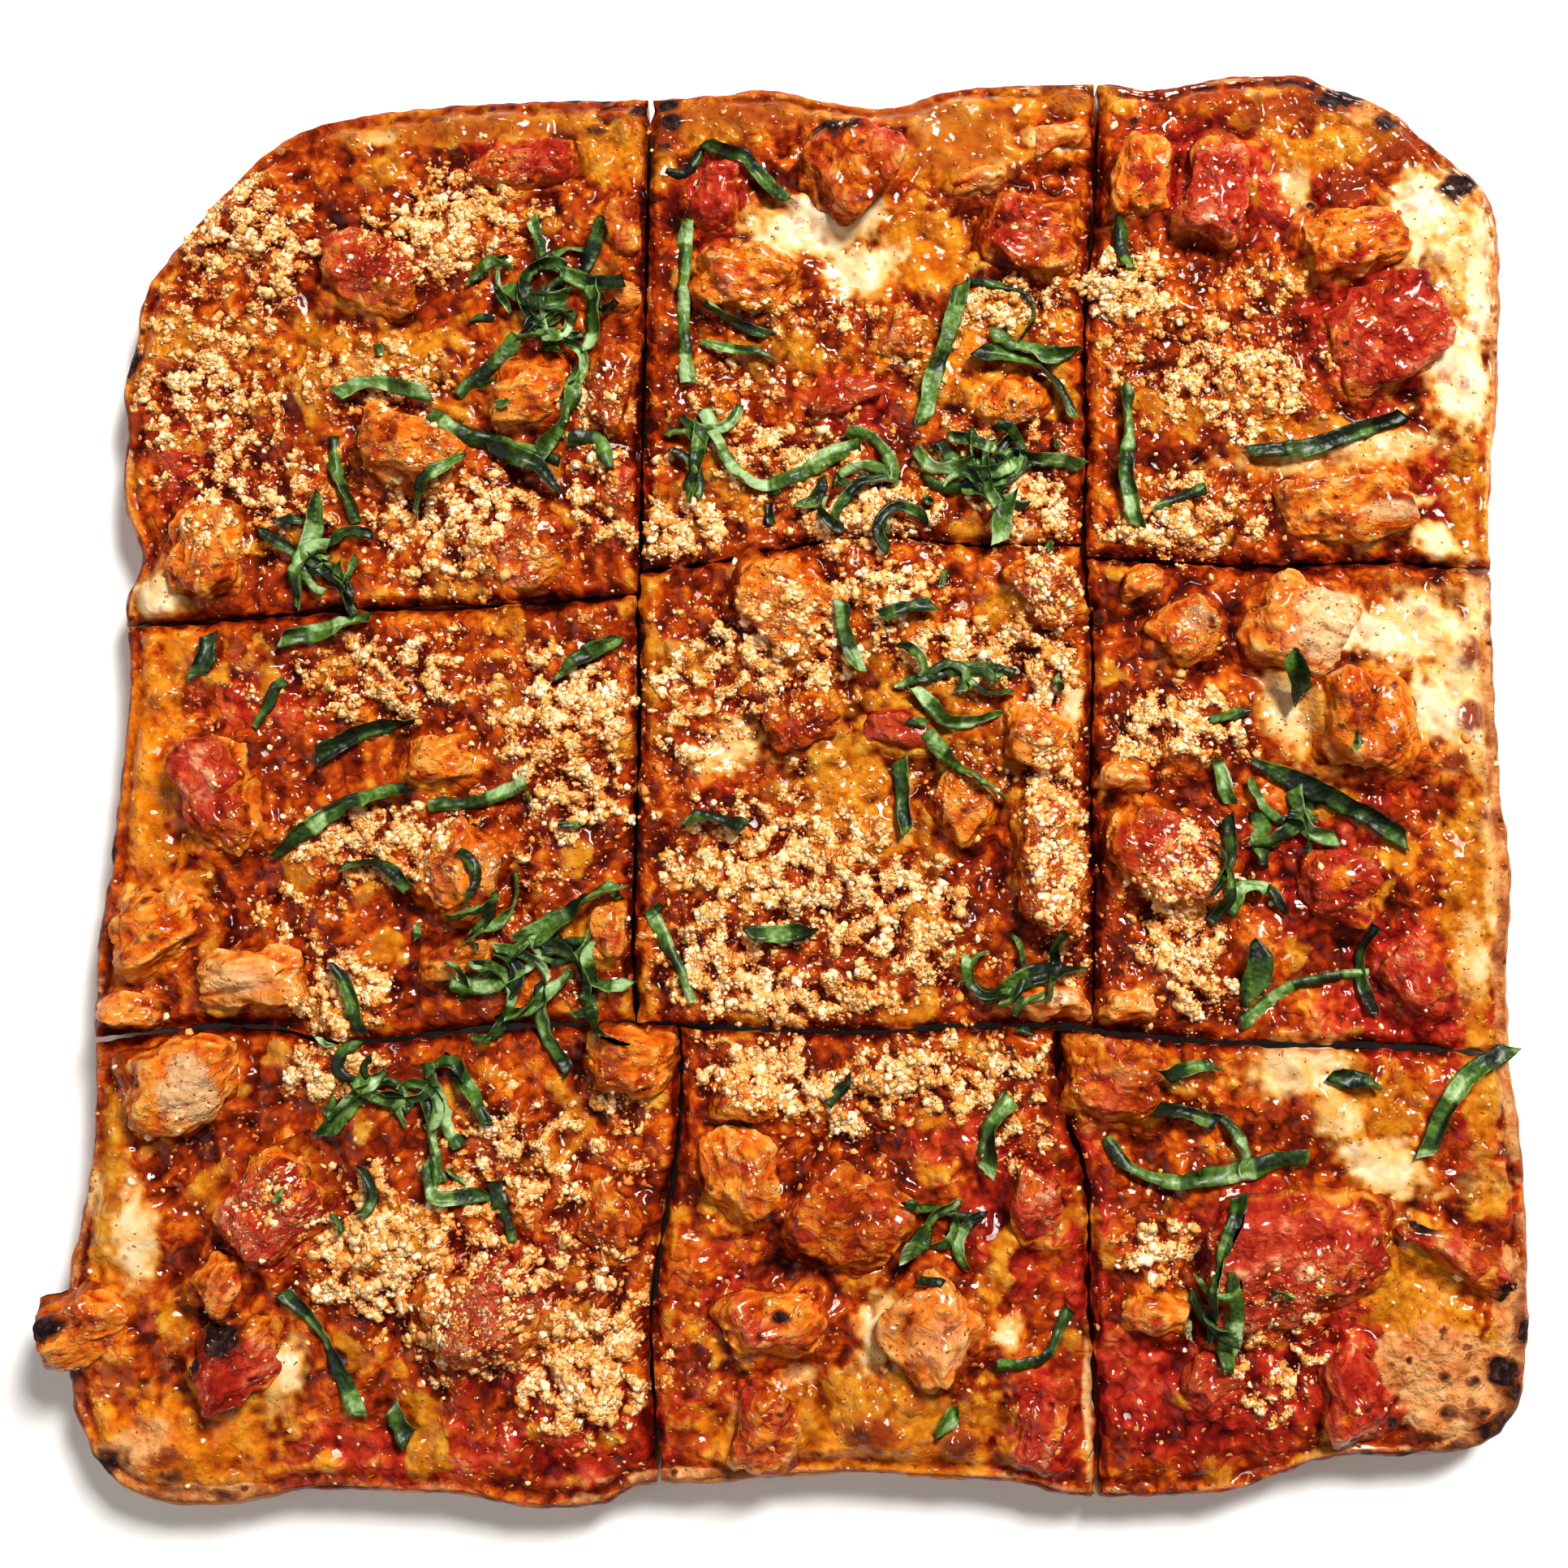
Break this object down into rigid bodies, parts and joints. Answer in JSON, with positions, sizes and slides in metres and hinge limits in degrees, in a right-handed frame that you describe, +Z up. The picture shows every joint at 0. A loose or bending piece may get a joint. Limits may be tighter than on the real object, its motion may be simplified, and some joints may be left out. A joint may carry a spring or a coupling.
{
  "type": "chicken parmesan pizza",
  "caption": "Square pan pizza cut into slices that keep its shape, with tomato sauce, browned cheese, chopped chicken, basil ribbons and grated parmesan.",
  "frame": {"origin": "under the middle of the pizza, on the surface that it rests on", "axes": "+Z up through the thickness, +Y to the pizza's back edge, +X to its right edge seen from the front; the pizza is square, so X and Y are nearly the same length"},
  "size_m": [0.3626, 0.3604, 0.0286],
  "materials": {
    "dough": "baked dough, golden brown, matt with an oily rim",
    "sauce": "oily tomato sauce with melted and browned cheese, grated parmesan and basil, wet gloss",
    "chicken": "chopped chicken coated in sauce and oil, semi-gloss"
  },
  "bodies": {
    "root": {"crust_r1_c1": "dough", "crust_r1_c2": "dough", "crust_r1_c3": "dough", "crust_r2_c1": "dough", "crust_r2_c2": "dough", "crust_r2_c3": "dough", "crust_r3_c1": "dough", "crust_r3_c2": "dough", "crust_r3_c3": "dough", "topping_r1_c1": "sauce", "topping_r1_c2": "sauce", "topping_r1_c3": "sauce", "topping_r2_c1": "sauce", "topping_r2_c2": "sauce", "topping_r2_c3": "sauce", "topping_r3_c1": "sauce", "topping_r3_c2": "sauce", "topping_r3_c3": "sauce", "chicken_01": "chicken", "chicken_02": "chicken", "chicken_03": "chicken", "chicken_04": "chicken", "chicken_05": "chicken", "chicken_06": "chicken", "chicken_07": "chicken", "chicken_08": "chicken", "chicken_09": "chicken", "chicken_10": "chicken", "chicken_11": "chicken", "chicken_12": "chicken", "chicken_13": "chicken", "chicken_14": "chicken", "chicken_15": "chicken", "chicken_16": "chicken", "chicken_17": "chicken", "chicken_18": "chicken", "chicken_19": "chicken", "chicken_20": "chicken", "chicken_21": "chicken", "chicken_22": "chicken", "chicken_23": "chicken", "chicken_24": "chicken", "chicken_25": "chicken", "chicken_26": "chicken", "chicken_27": "chicken", "chicken_28": "chicken", "chicken_29": "chicken", "chicken_30": "chicken", "chicken_31": "chicken", "chicken_32": "chicken", "chicken_33": "chicken", "chicken_34": "chicken", "chicken_35": "chicken", "chicken_36": "chicken", "chicken_37": "chicken", "chicken_38": "chicken", "chicken_39": "chicken", "chicken_40": "chicken", "chicken_41": "chicken", "chicken_42": "chicken"}
  },
  "joints": []
}
